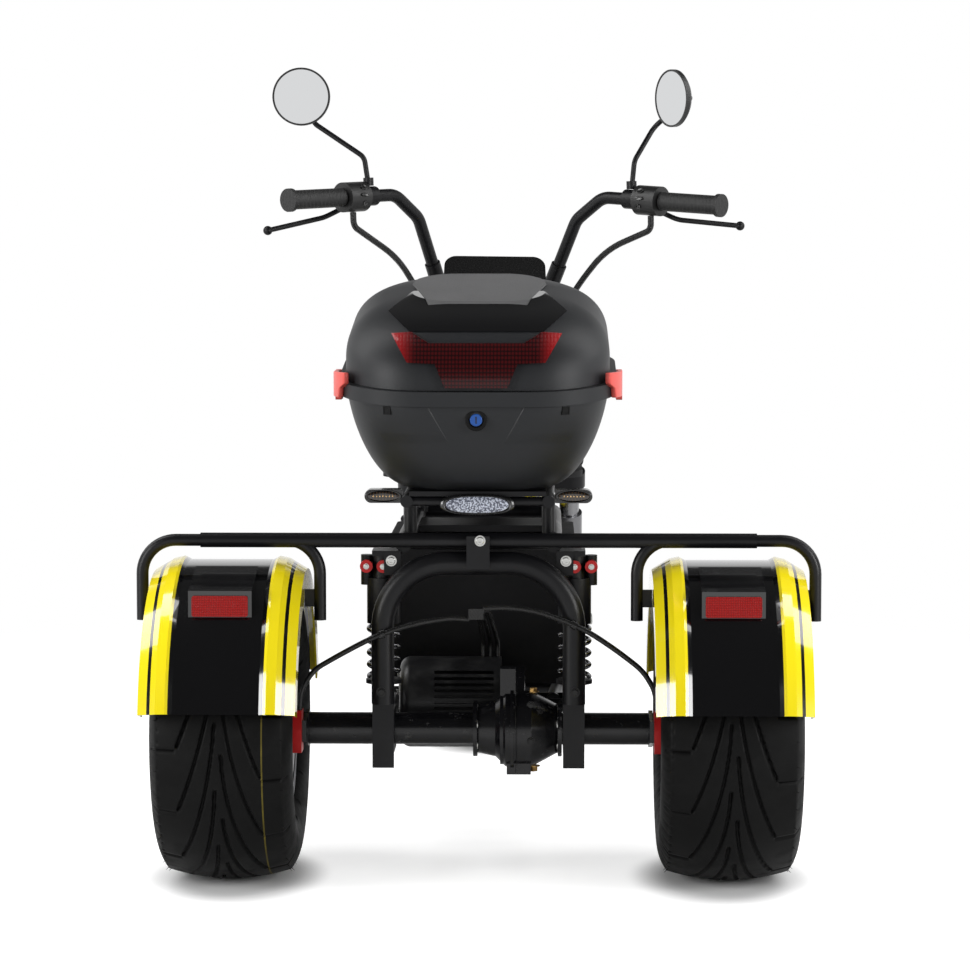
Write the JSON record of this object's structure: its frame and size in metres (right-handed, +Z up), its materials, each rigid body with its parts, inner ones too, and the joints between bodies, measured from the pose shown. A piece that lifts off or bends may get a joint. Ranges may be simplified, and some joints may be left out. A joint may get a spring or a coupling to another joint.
{
  "type": "electric tricycle",
  "caption": "Electric tricycle with fat tyres, one steered front wheel, a driven rear axle under hooped fenders, a long seat and a luggage box with a hinged lid.",
  "frame": {"origin": "on the ground under the middle of the whole vehicle", "axes": "+X to the rider's right, +Y forward, +Z up"},
  "size_m": [1.016, 1.7674, 1.2545],
  "materials": {
    "alloy": "machined",
    "battery_case": "matte",
    "black_paint": "gloss",
    "black_plastic": "matte",
    "box_gloss": "gloss",
    "box_plastic": "fine grain",
    "caliper_red": "gloss",
    "damper_black": "satin",
    "disc_steel": "brushed",
    "drive_case": "satin",
    "fender_paint": "gloss black with yellow stripes",
    "floor_rubber": "ribbed",
    "fork_alloy": "satin",
    "grip_rubber": "matte",
    "hose_plastic": "ribbed",
    "lamp_black": "gloss",
    "lamp_red": "gloss",
    "latch_red": "satin",
    "lens_clear": "clear",
    "lock_blue": "satin",
    "mat_rubber": "ribbed",
    "mirror_glass": "mirror",
    "polished_steel": "polished",
    "seat_cover": "grained",
    "spring_steel": "polished",
    "tyre_rubber": "matte"
  },
  "bodies": {
    "frame": {"main_frame": "black_paint", "swing_arms": "black_paint", "rear_arch": "black_paint", "fender_guard": "black_paint", "axle_housing": "drive_case", "differential": "drive_case", "drive_motor": "drive_case", "battery_box": "battery_case", "floorboard": "floor_rubber", "rack": "black_paint", "seat_pan": "black_plastic", "seat_cushion": "seat_cover", "rear_lamp": "lamp_black", "rear_signals": "lamp_black", "fender_reflectors": "lamp_red", "box_base": "box_plastic", "box_hinges": "black_plastic", "box_lock": "lock_blue", "box_latches": "latch_red", "rear_hoses": "hose_plastic", "motor_cables": "hose_plastic", "damper_knobs": "caliper_red", "springs": "spring_steel", "rear_fenders": "fender_paint", "shocks": "damper_black", "rear_calipers": "caliper_red"},
    "box_lid": {"box_lid": "box_plastic", "lid_panel": "box_gloss", "lid_mat": "mat_rubber", "tail_lamp": "lamp_red"},
    "steering": {"fork_sliders": "fork_alloy", "fork_stanchions": "polished_steel", "steering_yokes": "drive_case", "front_axle": "polished_steel", "handlebar": "black_paint", "bar_clamp": "black_paint", "grips": "grip_rubber", "display": "lamp_black", "headlight": "black_paint", "headlight_lens": "lens_clear", "control_cables": "hose_plastic", "front_fender": "fender_paint", "control_pods": "black_plastic", "brake_levers": "black_paint", "mirror_stalks": "black_paint", "mirror_shells": "black_plastic", "mirror_glasses": "mirror_glass"},
    "front_wheel": {"front_tyre": "tyre_rubber", "front_rim": "alloy", "front_brake_disc": "disc_steel"},
    "left_wheel": {"left_tyre": "tyre_rubber", "left_rim": "alloy", "left_brake_disc": "disc_steel"},
    "right_wheel": {"right_tyre": "tyre_rubber", "right_rim": "alloy", "right_brake_disc": "disc_steel"}
  },
  "joints": [
    {"name": "steer", "type": "hinge", "parent": "frame", "child": "steering", "pos_m": [0, 0.49637, 0.52163], "axis": [0, -0.4067, 0.9135], "range_deg": [-40, 30]},
    {"name": "box_lid", "type": "hinge", "parent": "frame", "child": "box_lid", "pos_m": [0, -0.41635, 0.7934], "axis": [-1, 0, 0], "range_deg": [0, 80]},
    {"name": "front_wheel_spin", "type": "hinge", "parent": "steering", "child": "front_wheel", "pos_m": [-0.0024, 0.65852, 0.22496], "axis": [-0.9962, -0.0796, -0.0354], "continuous": true},
    {"name": "left_wheel_spin", "type": "hinge", "parent": "frame", "child": "left_wheel", "pos_m": [-0.371, -0.63138, 0.225], "axis": [-1, 0, 0], "continuous": true},
    {"name": "right_wheel_spin", "type": "hinge", "parent": "frame", "child": "right_wheel", "pos_m": [0.371, -0.63138, 0.225], "axis": [-1, 0, 0], "continuous": true}
  ]
}
